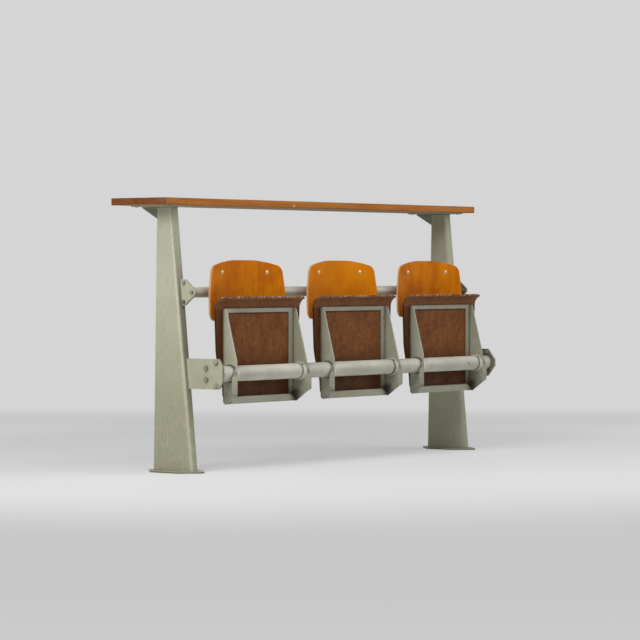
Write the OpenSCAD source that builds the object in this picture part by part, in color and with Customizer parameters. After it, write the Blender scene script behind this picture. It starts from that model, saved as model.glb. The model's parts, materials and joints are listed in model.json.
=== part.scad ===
// Lecture hall bench: three tip-up seats on one tube, three backrests on a rail
// and a long writing board, carried by two folded sheet legs.
// X runs along the bench, -Y is the sitter's side, +Z is up, the floor is z = 0.

/* [Writing board] */
// Length of the board
board_l = 1960; // [1900:10:2400]
// Depth of the board, front edge to rear edge
board_d = 264; // [240:5:340]
// Thickness of the board
board_t = 26; // [20:1:40]
// Height of the board's top above the floor
board_h = 1000; // [960:5:1100]
// Width of the wooden strip glued along each long edge
edging_w = 12; // [8:1:20]
// Radius of the rounded long edges
edging_r = 3; // [1:0.5:6]

/* [Legs] */
// Distance from each end of the board to the middle of its leg
leg_inset = 114; // [80:1:150]
// Width of a leg along the bench
leg_w = 44; // [40:1:60]
// Depth of a leg at its top
leg_top_d = 66; // [50:1:80]
// Depth of a leg at its foot
leg_foot_d = 185; // [140:1:200]
// Setback of the leg's top behind the board's front edge
leg_setback = 57; // [45:1:70]
// How far the leg's rear edge leans back on its way down
leg_lean = 18; // [0:1:30]
// Thickness of the folded sheet
leg_sheet = 3; // [2:0.5:4]
// Radius of the front folds at the top
fold_top_r = 8; // [5:1:14]
// Radius of the front folds at the foot
fold_foot_r = 20; // [10:1:20]
// Radius of the rear corners
fold_rear_r = 4; // [3.5:0.5:8]

/* [Plates] */
// Width of the plate under the board
top_plate_w = 120; // [100:2:160]
// Length of the plate under the board
top_plate_l = 190; // [170:1:210]
// Thickness of the plate under the board
top_plate_t = 5; // [4:0.5:8]
// Setback of that plate behind the board's front edge
top_plate_setback = 25; // [10:1:40]
// Thickness of the rear gusset
gusset_t = 5; // [3:0.5:8]
// Reach of the rear gusset behind the leg
gusset_l = 88; // [50:1:95]
// Height of the rear gusset
gusset_h = 52; // [30:1:80]
// Height of the gusset's blunt outer end
gusset_tip = 4; // [2:1:10]
// Width of a foot plate
foot_w = 140; // [124:2:160]
// Length of a foot plate
foot_l = 250; // [230:2:300]
// Thickness of a foot plate
foot_t = 6; // [4:0.5:10]
// Size of the cut corners of a foot plate
foot_cut = 60; // [20:1:60]
// Diameter of the floor bolt holes
floor_hole_d = 11; // [9:0.5:14]
// Spacing of the floor bolt holes along the bench
floor_hole_x = 96; // [84:1:100]
// Spacing of the floor bolt holes across the bench
floor_hole_y = 80; // [60:1:90]

/* [Back rail] */
// Diameter of the rail that carries the backrests
rail_d = 38; // [30:1:42]
// Wall of the rail
rail_wall = 2.5; // [2:0.25:4]
// Height of the rail's axis
rail_h = 656; // [640:1:670]
// How far the rail's axis lies in front of the board's front edge
rail_front = 2; // [0:1:12]
// Thickness of the bracket on the leg, here and at the seat tube
bracket_t = 6; // [4:0.5:8]
// Thickness of the plate on the rail's end
rail_plate_t = 5; // [4:0.5:8]
// Distance from the rail's axis to the front bolt
rail_bolt_front = 27; // [26:0.5:30]
// Distance from the leg's front to the pair of bolts before it
rail_bolt_gap = 10.5; // [9:0.5:14]
// Height of each of the pair of bolts above and below the axis
rail_bolt_rise = 35; // [30:1:40]
// Metal round the bolts
rail_bolt_margin = 13; // [11:1:16]
// Diameter of the rail bolts
rail_bolt_d = 8; // [6:1:10]

/* [Seat tube] */
// Diameter of the tube that the seats turn on
tube_d = 57; // [50:1:58]
// Wall of the seat tube
tube_wall = 3.5; // [2.5:0.25:5]
// Height of the seat tube's axis
tube_h = 361; // [340:1:380]
// How far the seat tube's axis lies in front of the board's front edge
tube_front = 140; // [130:1:150]
// Thickness of the flange on the tube's end
flange_t = 6; // [5:0.5:10]
// Half height of the bracket and of the flange
flange_half_h = 55; // [50:1:60]
// Reach of the left bracket and flange in front of the axis
left_nose = 29; // [28.5:0.5:34]
// Length of the cut corners at the left nose
left_cut_l = 18; // [12:1:22]
// Height of the cut corners at the left nose
left_cut_h = 26; // [20:1:30]
// Reach of the right bracket and flange in front of the axis, a more pointed pair
right_nose = 42; // [34:1:44]
// Length of the cut corners at the right nose
right_cut_l = 33; // [20:1:35]
// Height of the cut corners at the right nose
right_cut_h = 43; // [30:1:46]
// Reach of the flange behind the axis
flange_rear = 58; // [56:1:62]
// Distance of the rear pair of flange bolts behind the axis
flange_bolt_rear = 44; // [42:0.5:46]
// Height of the rear pair above and below the axis
flange_bolt_rear_h = 21; // [18:0.5:26]
// Distance of the front pair of flange bolts in front of the axis
flange_bolt_front = 3; // [0:0.5:6]
// Height of the front pair above and below the axis
flange_bolt_front_h = 42; // [41:0.5:43]
// Diameter of the flange bolts
flange_bolt_d = 10; // [8:1:10]

/* [Seats] */
// Number of places, left to right
places = 3; // [3]
// Gap between one seat frame and the next
seat_gap = 168; // [140:1:180]
// Gap between an outer seat frame and the flange beside it
end_gap = 69; // [55:1:75]
// Thickness of the seat frame's sheet
sheet = 2.5; // [2:0.25:3]
// Distance from the tube's axis to the underside of the seat
seat_offset = 32.5; // [32:0.5:36]
// Height of the seat frame above the axis when folded up
frame_top = 236; // [220:1:245]
// Reach of the seat frame below the axis when folded up
frame_low = 113; // [105:1:120]
// Distance from the axis to the front fold of the side plates
fold_front = 33.5; // [32.5:0.5:36]
// Height above the axis where the front fold starts
fold_high = 42; // [35:1:50]
// Depth below the axis where the front fold ends and the side plate slopes back
fold_low = 77.5; // [70:0.5:85]
// Depth of a side plate at its top
side_top_d = 15; // [12:1:20]
// Level length of the side plate's sloping lower edge
bar_run = 50; // [40:1:52]
// Radius of a side plate's lower rear corner
side_low_r = 14; // [8:1:15]
// Height of the lower bar's front
bar_h = 27; // [20:1:32]
// How far the lower bar's upper edge is bent back
bar_return = 8; // [6:0.5:9]
// How far the lower bar's upper edge stops short at each end
bar_cut = 40; // [10:1:60]
// How far the lower bar lies inside the side plates' outline
bar_in = 1; // [0.5:0.5:3]
// Width of the turned-out front fold
lap_w = 27; // [15:1:30]
// Height above the axis where the turned-out fold starts
lap_high = 36; // [33:1:40]
// Depth below the axis where the turned-out fold is at its full width
lap_full = 18; // [15:1:40]
// Rise of the turned-out fold's lower edge towards its tip
lap_rise = 10; // [0:1:20]
// Width of the inner strips that the seat is screwed to
strip_w = 26; // [20:1:30]
// Height of the strip across the top
top_strip_h = 15; // [12:1:20]
// Thickness of the moulded plywood seat
shell_t = 10; // [9:0.5:14]
// How far the seat stands out beside its frame at its front edge
shell_over = 41; // [35:1:45]
// How far the seat stands out beside its frame in its middle
shell_mid_over = 31; // [24:1:34]
// Height above the axis of the seat's middle
shell_waist = 78; // [50:1:100]
// How far the seat stands out beside its frame at its shoulder
shell_shoulder_over = 20; // [10:1:26]
// Height above the axis of the seat's shoulder
shell_shoulder = 28; // [10:1:40]
// How far the narrow rear part lies inside the frame's side where it begins
shell_neck_in = 4; // [0:1:8]
// Depth below the axis where the narrow rear part begins
shell_neck = 28; // [10:1:40]
// How far the seat's rear corner lies inside its frame's side
shell_rear_in = 9; // [5:1:14]
// Radius of the seat's front corners
shell_front_r = 24; // [15:1:35]
// Radius of the seat's rear corners
shell_rear_r = 8; // [4:1:12]
// Radius that eases the seat's sides
shell_side_r = 150; // [100:5:200]
// Reach of the seat below the axis when folded up
shell_low = 88; // [86:1:100]
// Radius of the rolled front edge, on the underside
lip_r = 33; // [30:1:40]
// Angle through which the front edge is rolled
lip_a = 84; // [60:1:88]
// Angle through which a seat tips down
tip_a = 84; // [75:1:88]

/* [Seat bearings] */
// Wall of the bearing bush
bush_wall = 1.2; // [1:0.05:1.3]
// Running clearance between the bush and the tube
run_gap = 0.05; // [0.02:0.01:0.1]
// Wall of the ring that holds the bush
ring_wall = 4; // [3:0.5:7]
// Length of the ring inside the side plate
ring_l = 13; // [12:1:24]
// Diameter of the stop pin in the tube
pin_d = 6; // [5:0.5:7]
// Direction of the stop pin, from level at the rear, upwards
pin_a = 131; // [125:1:140]

/* [Backrests] */
// How far a backrest stands out beyond the sides of the seat frame below it
back_over = 14; // [5:1:20]
// How much narrower a backrest is at its top, each side
back_taper = 17; // [8:1:24]
// Lower edge of a backrest, from the rail's axis
back_low = 105; // [100:1:120]
// Upper edge of a backrest, from the rail's axis
back_high = 121; // [110:1:130]
// Radius of the upper edge's crown
back_crown_r = 800; // [600:10:1200]
// Radius of the upper corners
back_high_r = 36; // [24:1:44]
// Radius of the lower corners
back_low_r = 38; // [24:1:44]
// Thickness of a backrest
back_t = 8; // [8:0.5:12]
// Radius of the backrest's curve in plan
back_r = 1000; // [600:10:1200]
// Distance of the straps from the backrest's sides
strap_inset = 89; // [70:1:100]
// Width of a strap
strap_w = 30; // [24:1:40]
// Thickness of a strap
strap_t = 5; // [4:0.5:6]
// Distance from the rail's axis to the front of a strap
strap_front = 33; // [31:0.5:40]
// Height of the upper bolts above the rail's axis
back_bolt_high = 73; // [60:1:80]
// Depth of the lower bolts below the rail's axis
back_bolt_low = 70; // [60:1:80]

/* [Fixings] */
// Thickness of the washers
washer_t = 1.6; // [1:0.1:2.5]
// Length of a bolt's end beyond its nut
bolt_tail = 2; // [1:0.5:5]
// Diameter of the wood screws
wood_screw_d = 5; // [4:0.5:6]
// Diameter of the wood screws' heads
wood_head_d = 9.4; // [8:0.2:11]
// Height of the wood screws' heads
wood_head_h = 2.5; // [2:0.1:3]
// Diameter of the backrest bolts
back_bolt_d = 6; // [5:0.5:8]
// Diameter of the backrest bolts' domed heads
back_head_d = 13; // [11:0.5:16]
// Height of the backrest bolts' domed heads
back_head_h = 3.2; // [2.5:0.1:4]
// Radial clearance round bolts and screws
screw_gap = 0.05; // [0.02:0.01:0.2]

/* [Hidden] */
$fn = 48;

// Lengths that every piece shares. Y is counted from the board's front edge and
// moved to the middle of the bench's depth by in_row().
front_reach = tube_front + max(left_nose, right_nose, fold_front);
origin_y = -(board_d - front_reach) / 2;
board_low = board_h - board_t;
leg_x = board_l / 2 - leg_inset;
leg_low = foot_t;
leg_high = board_low - top_plate_t;
leg_rear_top = leg_setback + leg_top_d;
leg_rear_foot = leg_rear_top + leg_lean;
leg_front_foot = leg_rear_foot - leg_foot_d;
rail_y = -rail_front;
tube_y = -tube_front;
tube_r = tube_d / 2;
flange_x = leg_x - bracket_t / 2;
tube_half = flange_x - flange_t;
rail_half = flange_x - rail_plate_t;
frame_w = (2 * tube_half - 2 * end_gap - (places - 1) * seat_gap) / places;
pitch = frame_w + seat_gap;
places_x = [for (i = [0:places - 1]) (i - (places - 1) / 2) * pitch];
side_x = frame_w / 2;
bush_r = tube_r + run_gap + bush_wall;
ring_gap = 0.05;
ring_r = bush_r + ring_gap;
ring_out_r = ring_r + ring_wall;
strip_front = seat_offset - sheet;
lip_start = frame_top + 1;
shell_high = lip_start + (lip_r + shell_t) * sin(lip_a);
back_half = side_x + back_over;
back_top_half = back_half - back_taper;
strap_x = back_half - strap_inset;
slice_t = 0.01;
over = 1;
side_top_r = 8;
side_front_r = 30;
lap_r = 30;
screw_r = wood_screw_d / 2;

paint = [0.66, 0.65, 0.54];
tube_paint = [0.72, 0.71, 0.64];
oak = [0.66, 0.4, 0.2];
amber = [0.76, 0.43, 0.06];
brown = [0.42, 0.27, 0.17];
steel = [0.6, 0.6, 0.56];
nylon = [0.2, 0.2, 0.19];

function leg_share(z) = (leg_high - z) / (leg_high - leg_low);
function leg_rear(z) = leg_rear_top + leg_lean * leg_share(z);
function leg_face(z) = leg_setback + (leg_front_foot - leg_setback) * leg_share(z);

function unit(v) = v / norm(v);
function near_turn(a) = a > 180 ? a - 360 : a < -180 ? a + 360 : a;
function corner_arc(p0, p1, p2, r, n) = let (
        a = unit(p0 - p1),
        b = unit(p2 - p1),
        half = acos(a * b) / 2,
        c = p1 + unit(a + b) * r / sin(half),
        s = p1 + a * r / tan(half) - c,
        e = p1 + b * r / tan(half) - c,
        start = atan2(s.y, s.x),
        turn = near_turn(atan2(e.y, e.x) - start)
    ) [for (i = [0:n]) c + r * [cos(start + turn * i / n), sin(start + turn * i / n)]];
// Outline through points, each corner rounded by its own radius.
function rounded(points, radii, n = 6) = let (count = len(points)) [
    for (i = [0:count - 1])
        let (before = points[(i + count - 1) % count], after = points[(i + 1) % count])
        each radii[i] > 0 ? corner_arc(before, points[i], after, radii[i], n) : [points[i]]
];
function mirrored(points) = concat(points,
    [for (i = [len(points) - 1:-1:0]) [-points[i].x, points[i].y]]);
function twice(list) = concat(list, [for (i = [len(list) - 1:-1:0]) list[i]]);

module in_row() { translate([0, origin_y, 0]) children(); }
module on_side(side) { if (side < 0) mirror([1, 0, 0]) children(); else children(); }
// Plate that lies across the bench, its outline given as depth and height.
module cross_plate(x, t, points) {
    translate([x, 0, 0]) rotate([90, 0, 90]) linear_extrude(t) polygon(points);
}
// Round bar along the bench.
module bar_x(x, y, z, r, l) { translate([x, y, z]) rotate([0, 90, 0]) cylinder(r = r, h = l); }
module hex_x(x, y, z, across, l) {
    translate([x, y, z]) rotate([0, 90, 0]) cylinder(r = across / sqrt(3), h = l, $fn = 6);
}
// Bolt along the bench: head and washer outside, washer and nut inside, with the
// plates between x_in and x_out.
module cross_bolt(y, z, d, x_in, x_out) {
    head_h = 0.65 * d;
    nut_h = 0.8 * d;
    tail = washer_t + nut_h + bolt_tail;
    bar_x(x_in - tail, y, z, d / 2, tail + x_out - x_in + washer_t + head_h);
    bar_x(x_out, y, z, d, washer_t);
    bar_x(x_in - washer_t, y, z, d, washer_t);
    hex_x(x_out + washer_t, y, z, 1.6 * d, head_h);
    hex_x(x_in - washer_t - nut_h, y, z, 1.6 * d, nut_h);
}

// Writing board
module desk_board() {
    color(oak) in_row() difference() {
        translate([-board_l / 2, edging_w, board_low]) cube([board_l, board_d - 2 * edging_w, board_t]);
        desk_screw_places() translate([0, 0, -over])
            cylinder(r = screw_r + screw_gap, h = board_t * 0.6 + over);
    }
}
module desk_edging() {
    color(oak) in_row() for (rear = [false, true])
        translate([0, rear ? board_d : 0, 0]) mirror([0, rear ? 1 : 0, 0])
            cross_plate(-board_l / 2, board_l, rounded(
                [[0, board_low], [0, board_h], [edging_w, board_h], [edging_w, board_low]],
                [edging_r, edging_r, 0, 0], 4));
}

// Legs
module leg_slice(z, inset) {
    front_r = fold_top_r + (fold_foot_r - fold_top_r) * leg_share(z) - inset;
    rear_r = max(fold_rear_r - inset, 0.5);
    half = leg_w / 2 - inset;
    for (s = [-1, 1]) {
        translate([s * (half - front_r), leg_face(z) + inset + front_r, z])
            cylinder(r = front_r, h = slice_t, $fn = 32);
        translate([s * (half - rear_r), leg_rear(z) - inset - rear_r, z])
            cylinder(r = rear_r, h = slice_t, $fn = 32);
    }
}
module leg() {
    color(paint) in_row() translate([leg_x, 0, 0]) difference() {
        hull() {
            leg_slice(leg_low, 0);
            leg_slice(leg_high - slice_t, 0);
        }
        hull() {
            leg_slice(leg_low - over, leg_sheet);
            leg_slice(leg_high + over, leg_sheet);
        }
    }
}
module left_leg() { on_side(-1) leg(); }
module right_leg() { on_side(1) leg(); }

// Plate under the board, with its gusset behind the leg
module desk_screw_places() {
    inset = 14;
    for (side = [-1, 1], x = [-1, 1], y = [inset, top_plate_l - inset])
        translate([side * leg_x + x * (top_plate_w / 2 - inset), top_plate_setback + y, board_low])
            children();
}
module top_plate() {
    color(paint) in_row() difference() {
        translate([leg_x - top_plate_w / 2, top_plate_setback, leg_high])
            cube([top_plate_w, top_plate_l, top_plate_t]);
        desk_screw_places() translate([0, 0, -top_plate_t - over])
            cylinder(r = screw_r + screw_gap, h = top_plate_t + 2 * over);
    }
}
module left_top_plate() { on_side(-1) top_plate(); }
module right_top_plate() { on_side(1) top_plate(); }
module desk_screws() {
    color(steel) in_row() desk_screw_places() {
        translate([0, 0, -top_plate_t]) cylinder(r = screw_r, h = top_plate_t + board_t * 0.55);
        translate([0, 0, -top_plate_t - wood_head_h])
            cylinder(d1 = 0.7 * wood_head_d, d2 = wood_head_d, h = wood_head_h);
    }
}
module gusset() {
    low = leg_high - gusset_h;
    color(paint) in_row() cross_plate(leg_x - gusset_t / 2, gusset_t, [
        [leg_rear(low), low],
        [leg_rear(leg_high), leg_high],
        [leg_rear_top + gusset_l, leg_high],
        [leg_rear_top + gusset_l, leg_high - gusset_tip]
    ]);
}
module left_gusset() { on_side(-1) gusset(); }
module right_gusset() { on_side(1) gusset(); }

// Foot plate with its four floor bolt holes
module foot_plate() {
    middle = (leg_rear_foot + leg_front_foot) / 2;
    half_w = foot_w / 2;
    half_l = foot_l / 2;
    corner_r = 4;
    color(paint) in_row() translate([leg_x, middle, 0]) difference() {
        linear_extrude(foot_t) polygon(rounded(
            mirrored([[half_w - foot_cut, -half_l], [half_w, foot_cut - half_l],
                [half_w, half_l - foot_cut], [half_w - foot_cut, half_l]]),
            twice([corner_r, corner_r, corner_r, corner_r]), 3));
        for (x = [-1, 1], y = [-1, 1])
            translate([x * floor_hole_x / 2, y * floor_hole_y / 2, -over])
                cylinder(d = floor_hole_d, h = foot_t + 2 * over);
    }
}
module left_foot_plate() { on_side(-1) foot_plate(); }
module right_foot_plate() { on_side(1) foot_plate(); }

// Back rail, its brackets on the legs and its end plates
rail_bolt_y = leg_face(rail_h - rail_bolt_rise) - rail_bolt_gap;
rail_bolts_yz = [[rail_y - rail_bolt_front, rail_h],
    [rail_bolt_y, rail_h - rail_bolt_rise],
    [rail_bolt_y, rail_h + rail_bolt_rise]];
rail_plate_half = rail_bolt_rise + rail_bolt_margin;
rail_plate_nose = rail_y - rail_bolt_front - rail_bolt_margin;
rail_plate_gap = 1;
rail_plate_rear = leg_face(rail_h - rail_plate_half) - rail_plate_gap;
module rail_outline(low_rear, high_rear) {
    blunt = 7;
    shoulder = rail_bolt_y - 2;
    polygon(rounded([
        [low_rear, rail_h - rail_plate_half], [shoulder, rail_h - rail_plate_half],
        [rail_plate_nose, rail_h - blunt], [rail_plate_nose, rail_h + blunt],
        [shoulder, rail_h + rail_plate_half], [high_rear, rail_h + rail_plate_half]
    ], [0, 9, 9, 9, 9, 0]));
}
module rail_bracket() {
    color(paint) in_row() difference() {
        translate([flange_x, 0, 0]) rotate([90, 0, 90]) linear_extrude(bracket_t)
            rail_outline(leg_face(rail_h - rail_plate_half), leg_face(rail_h + rail_plate_half));
        for (p = rail_bolts_yz)
            bar_x(flange_x - over, p.x, p.y, rail_bolt_d / 2 + screw_gap, bracket_t + 2 * over);
    }
}
module left_rail_bracket() { on_side(-1) rail_bracket(); }
module right_rail_bracket() { on_side(1) rail_bracket(); }
module rail_end_plates() {
    color(paint) in_row() for (side = [-1, 1]) on_side(side) difference() {
        translate([rail_half, 0, 0]) rotate([90, 0, 90]) linear_extrude(rail_plate_t)
            rail_outline(rail_plate_rear, rail_plate_rear);
        for (p = rail_bolts_yz)
            bar_x(rail_half - over, p.x, p.y, rail_bolt_d / 2 + screw_gap, rail_plate_t + 2 * over);
    }
}
module back_rail() {
    color(tube_paint) in_row() difference() {
        bar_x(-rail_half, rail_y, rail_h, rail_d / 2, 2 * rail_half);
        bar_x(-rail_half - over, rail_y, rail_h, rail_d / 2 - rail_wall, 2 * (rail_half + over));
    }
}
module rail_bolts() {
    color(steel) in_row() for (side = [-1, 1], p = rail_bolts_yz) on_side(side)
        cross_bolt(p.x, p.y, rail_bolt_d, rail_half, flange_x + bracket_t);
}

// Seat tube, its brackets on the legs and its end flanges
flange_bolts_yz = [for (s = [-1, 1]) each [
    [tube_y + flange_bolt_rear, tube_h + s * flange_bolt_rear_h],
    [tube_y - flange_bolt_front, tube_h + s * flange_bolt_front_h]]];
module flange_outline(side, low_rear, high_rear, rear_r) {
    nose = tube_y - (side < 0 ? left_nose : right_nose);
    cut_l = side < 0 ? left_cut_l : right_cut_l;
    cut_h = side < 0 ? left_cut_h : right_cut_h;
    low = tube_h - flange_half_h;
    high = tube_h + flange_half_h;
    corner_r = 4;
    polygon(rounded([
        [low_rear, low], [nose + cut_l, low], [nose, low + cut_h],
        [nose, high - cut_h], [nose + cut_l, high], [high_rear, high]
    ], [rear_r, corner_r, corner_r, corner_r, corner_r, rear_r], 4));
}
module seat_bracket(side) {
    color(paint) in_row() on_side(side) difference() {
        translate([flange_x, 0, 0]) rotate([90, 0, 90]) linear_extrude(bracket_t)
            flange_outline(side, leg_face(tube_h - flange_half_h), leg_face(tube_h + flange_half_h), 0);
        for (p = flange_bolts_yz)
            bar_x(flange_x - over, p.x, p.y, flange_bolt_d / 2 + screw_gap, bracket_t + 2 * over);
    }
}
module left_seat_bracket() { seat_bracket(-1); }
module right_seat_bracket() { seat_bracket(1); }
module tube_flanges() {
    rear_r = 12;
    color(paint) in_row() for (side = [-1, 1]) on_side(side) difference() {
        translate([tube_half, 0, 0]) rotate([90, 0, 90]) linear_extrude(flange_t)
            flange_outline(side, tube_y + flange_rear, tube_y + flange_rear, rear_r);
        for (p = flange_bolts_yz)
            bar_x(tube_half - over, p.x, p.y, flange_bolt_d / 2 + screw_gap, flange_t + 2 * over);
    }
}
module flange_bolts() {
    color(steel) in_row() for (side = [-1, 1], p = flange_bolts_yz) on_side(side)
        cross_bolt(p.x, p.y, flange_bolt_d, tube_half, flange_x + bracket_t);
}
pin_x = side_x - sheet - ring_l + pin_d / 2 + 1;
module pin_places() {
    for (x = places_x, s = [-1, 1])
        translate([x + s * pin_x, tube_y, tube_h]) rotate([pin_a - 90, 0, 0]) children();
}
module seat_tube() {
    color(tube_paint) in_row() difference() {
        bar_x(-tube_half, tube_y, tube_h, tube_r, 2 * tube_half);
        bar_x(-tube_half - over, tube_y, tube_h, tube_r - tube_wall, 2 * (tube_half + over));
        pin_places() cylinder(d = pin_d + 2 * screw_gap, h = tube_d);
    }
}
module stop_pins() {
    color(steel) in_row() pin_places() translate([0, 0, tube_r - tube_wall - 2])
        cylinder(d = pin_d, h = tube_wall + 2 + bush_wall + ring_wall - 0.5);
}

// Seats, drawn round the tube's axis and folded up
module at_place(i) { in_row() translate([places_x[i], tube_y, tube_h]) children(); }
module side_plate() {
    difference() {
        cross_plate(side_x - sheet, sheet, rounded([
            [seat_offset, -frame_low], [seat_offset, frame_top],
            [seat_offset - side_top_d, frame_top], [-fold_front, fold_high],
            [-fold_front, -fold_low], [bar_run - fold_front, -frame_low]
        ], [side_low_r, 0, side_top_r, side_front_r, 0, 0]));
        bar_x(side_x - sheet - over, 0, 0, ring_r, sheet + 2 * over);
    }
    // The front edge is turned out, in front of the tube
    translate([side_x - sheet, sheet - fold_front, 0]) rotate([90, 0, 0]) linear_extrude(sheet)
        polygon(rounded([[0, lap_high], [sheet / 2, lap_high], [sheet + lap_w, -lap_full],
            [sheet + lap_w, lap_rise - fold_low], [sheet / 2, -fold_low], [0, -fold_low]],
            [0, 0, lap_r, 0, 0, 0]));
    // The rear edge is turned in, and the seat is screwed to it
    strip_low = side_low_r + sheet - frame_low;
    translate([side_x - sheet - strip_w, strip_front, strip_low])
        cube([strip_w + over, sheet, frame_top - strip_low]);
}
// Folded gutter across the bottom. Its front is cut back at both ends.
module lower_bar() {
    half = side_x - sheet / 2;
    rear = seat_offset - bar_in;
    front = bar_run - fold_front + bar_in;
    low = bar_in - frame_low;
    high = low + bar_h;
    wall_top = side_low_r + sheet - frame_low + 1.5;
    lip_back = front + bar_return;
    rear_r = 9;
    front_r = 4.5;
    high_r = 6.5;
    difference() {
        cross_plate(-half, 2 * half, rounded([
            [rear, wall_top], [rear, low], [front, low], [front, high], [lip_back, high],
            [lip_back, high - sheet], [front + sheet, high - sheet], [front + sheet, low + sheet],
            [rear - sheet, low + sheet], [rear - sheet, wall_top]
        ], [0, rear_r, front_r, high_r, 0, 0, high_r - sheet, front_r - sheet, rear_r - sheet, 0]));
        for (side = [-1, 1]) on_side(side)
            translate([0, lip_back + over, 0]) rotate([90, 0, 0]) linear_extrude(bar_return + 2 * over)
                polygon([[half - bar_cut, high + over], [half + over, high + over],
                    [half + over, low + front_r + sheet]]);
    }
}
seat_screws_xz = [for (s = [-1, 1], z = [frame_top - 43, 0.4 * frame_top, -0.6 * frame_low])
    [s * (side_x - sheet - strip_w / 2), z]];
module screw_y(y, r, l) { translate([0, y, 0]) rotate([-90, 0, 0]) cylinder(r = r, h = l); }
module seat_frame(i) {
    color(paint) at_place(i) difference() {
        union() {
            side_plate();
            mirror([1, 0, 0]) side_plate();
            lower_bar();
            translate([-side_x + sheet, strip_front, frame_top - top_strip_h])
                cube([2 * (side_x - sheet), sheet, top_strip_h]);
        }
        for (p = seat_screws_xz)
            translate([p.x, 0, p.y]) screw_y(strip_front - over, screw_r + screw_gap, sheet + 2 * over);
    }
}
module seat_screws(i) {
    color(steel) at_place(i) for (p = seat_screws_xz) translate([p.x, 0, p.y]) {
        screw_y(strip_front, screw_r, sheet + shell_t * 0.7);
        translate([0, strip_front, 0]) rotate([90, 0, 0])
            cylinder(d1 = wood_head_d, d2 = 0.7 * wood_head_d, h = wood_head_h);
    }
}
module shell_profile() {
    big = 2 * (lip_r + shell_t);
    translate([seat_offset, -shell_low - over]) square([shell_t, shell_low + over + lip_start]);
    translate([seat_offset - lip_r, lip_start]) intersection() {
        difference() {
            circle(r = lip_r + shell_t, $fn = 96);
            circle(r = lip_r, $fn = 96);
        }
        polygon([[0, 0], [big, 0], [big, big], [big * cos(lip_a), big * sin(lip_a)]]);
    }
}
module seat_shell(i) {
    half = side_x + shell_over;
    color(brown) at_place(i) difference() {
        intersection() {
            translate([-half, 0, 0]) rotate([90, 0, 90]) linear_extrude(2 * half) shell_profile();
            translate([0, seat_offset + shell_t + over, 0]) rotate([90, 0, 0])
                linear_extrude(shell_t + 2 * lip_r) polygon(rounded(
                    mirrored([[side_x - shell_rear_in, -shell_low], [side_x - shell_neck_in, -shell_neck],
                        [side_x + shell_shoulder_over, shell_shoulder],
                        [side_x + shell_mid_over, shell_waist], [half, shell_high + over]]),
                    twice([shell_rear_r, shell_side_r, shell_side_r, shell_side_r, shell_front_r]), 8));
        }
        for (p = seat_screws_xz)
            translate([p.x, 0, p.y]) screw_y(seat_offset - over, screw_r + screw_gap, shell_t * 0.75 + over);
    }
}
// Ring inside each side plate. Its notch lets the stop pin travel from the folded
// seat to the lowered one.
module seat_rings(i) {
    pin_half_a = asin(pin_d / 2 / ring_r) + 0.6;
    notch_l = pin_d + 2;
    inner_x = side_x - sheet - ring_l;
    color(paint) at_place(i) for (side = [-1, 1]) on_side(side) difference() {
        bar_x(inner_x, 0, 0, ring_out_r, ring_l);
        bar_x(inner_x - over, 0, 0, ring_r, ring_l + 2 * over);
        translate([inner_x - over, strip_front, -tube_d]) cube([ring_l + 2 * over, tube_d, 2 * tube_d]);
        translate([inner_x - over, 0, 0]) rotate([pin_a - tip_a - pin_half_a, 0, 0]) rotate([90, 0, 90])
            rotate_extrude(angle = tip_a + 2 * pin_half_a, $fn = 96)
                translate([tube_r, 0]) square([2 * ring_wall, notch_l + over]);
    }
}
module seat_bushes(i) {
    notch_l = pin_d + 2.5;
    bush_l = ring_l + sheet - notch_l;
    color(nylon) at_place(i) for (side = [-1, 1]) on_side(side) difference() {
        bar_x(side_x - bush_l, 0, 0, bush_r, bush_l);
        bar_x(side_x - bush_l - over, 0, 0, tube_r + run_gap, bush_l + 2 * over);
    }
}

// Backrests, drawn round the middle of their curve
module at_back(i) {
    in_row() translate([places_x[i], rail_y - strap_front - strap_curve_y, rail_h]) children();
}
strap_a = asin(strap_x / (back_r + back_t));
strap_curve_y = (back_r + back_t) * cos(strap_a);
module at_straps() {
    for (s = [-1, 1]) rotate([0, 0, -s * strap_a]) translate([0, back_r + back_t, 0]) children();
}
function crown(x) = [x, back_high - back_crown_r + sqrt(back_crown_r * back_crown_r - x * x)];
module backrest(i) {
    side_r = 60;
    crown_ease = back_crown_r / 2;
    color(amber) at_back(i) difference() {
        intersection() {
            translate([0, 0, -back_low - over]) difference() {
                cylinder(r = back_r + back_t, h = back_low + back_high + 2 * over, $fn = 360);
                translate([0, 0, -over])
                    cylinder(r = back_r, h = back_low + back_high + 4 * over, $fn = 360);
            }
            translate([0, back_r + 2 * back_t, 0]) rotate([90, 0, 0]) linear_extrude(back_r / 2)
                polygon(rounded(
                    mirrored([[back_half - 0.2 * back_taper, -back_low], [back_half, 0],
                        crown(back_top_half), crown(back_top_half * 0.66), crown(back_top_half * 0.33)]),
                    twice([back_low_r, side_r, back_high_r, crown_ease, crown_ease]), 8));
        }
        at_straps() for (z = [-back_bolt_low, back_bolt_high])
            translate([0, 0, z]) screw_y(-2 * back_t, back_bolt_d / 2 + screw_gap, 4 * back_t);
    }
}
module back_straps(i) {
    past = 16;
    saddle_h = 24;
    color(paint) difference() {
        at_back(i) at_straps() difference() {
            union() {
                translate([-strap_w / 2, screw_gap, -back_bolt_low - past])
                    cube([strap_w, strap_t, back_bolt_low + back_bolt_high + 2 * past]);
                translate([-strap_w / 2, screw_gap, -saddle_h / 2]) cube([strap_w, strap_front - strap_t, saddle_h]);
            }
            for (z = [-back_bolt_low, back_bolt_high])
                translate([0, 0, z]) screw_y(-over, back_bolt_d / 2 + screw_gap, strap_t + 3 * over);
        }
        in_row() bar_x(-board_l / 2, rail_y, rail_h, rail_d / 2, board_l);
    }
}
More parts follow.
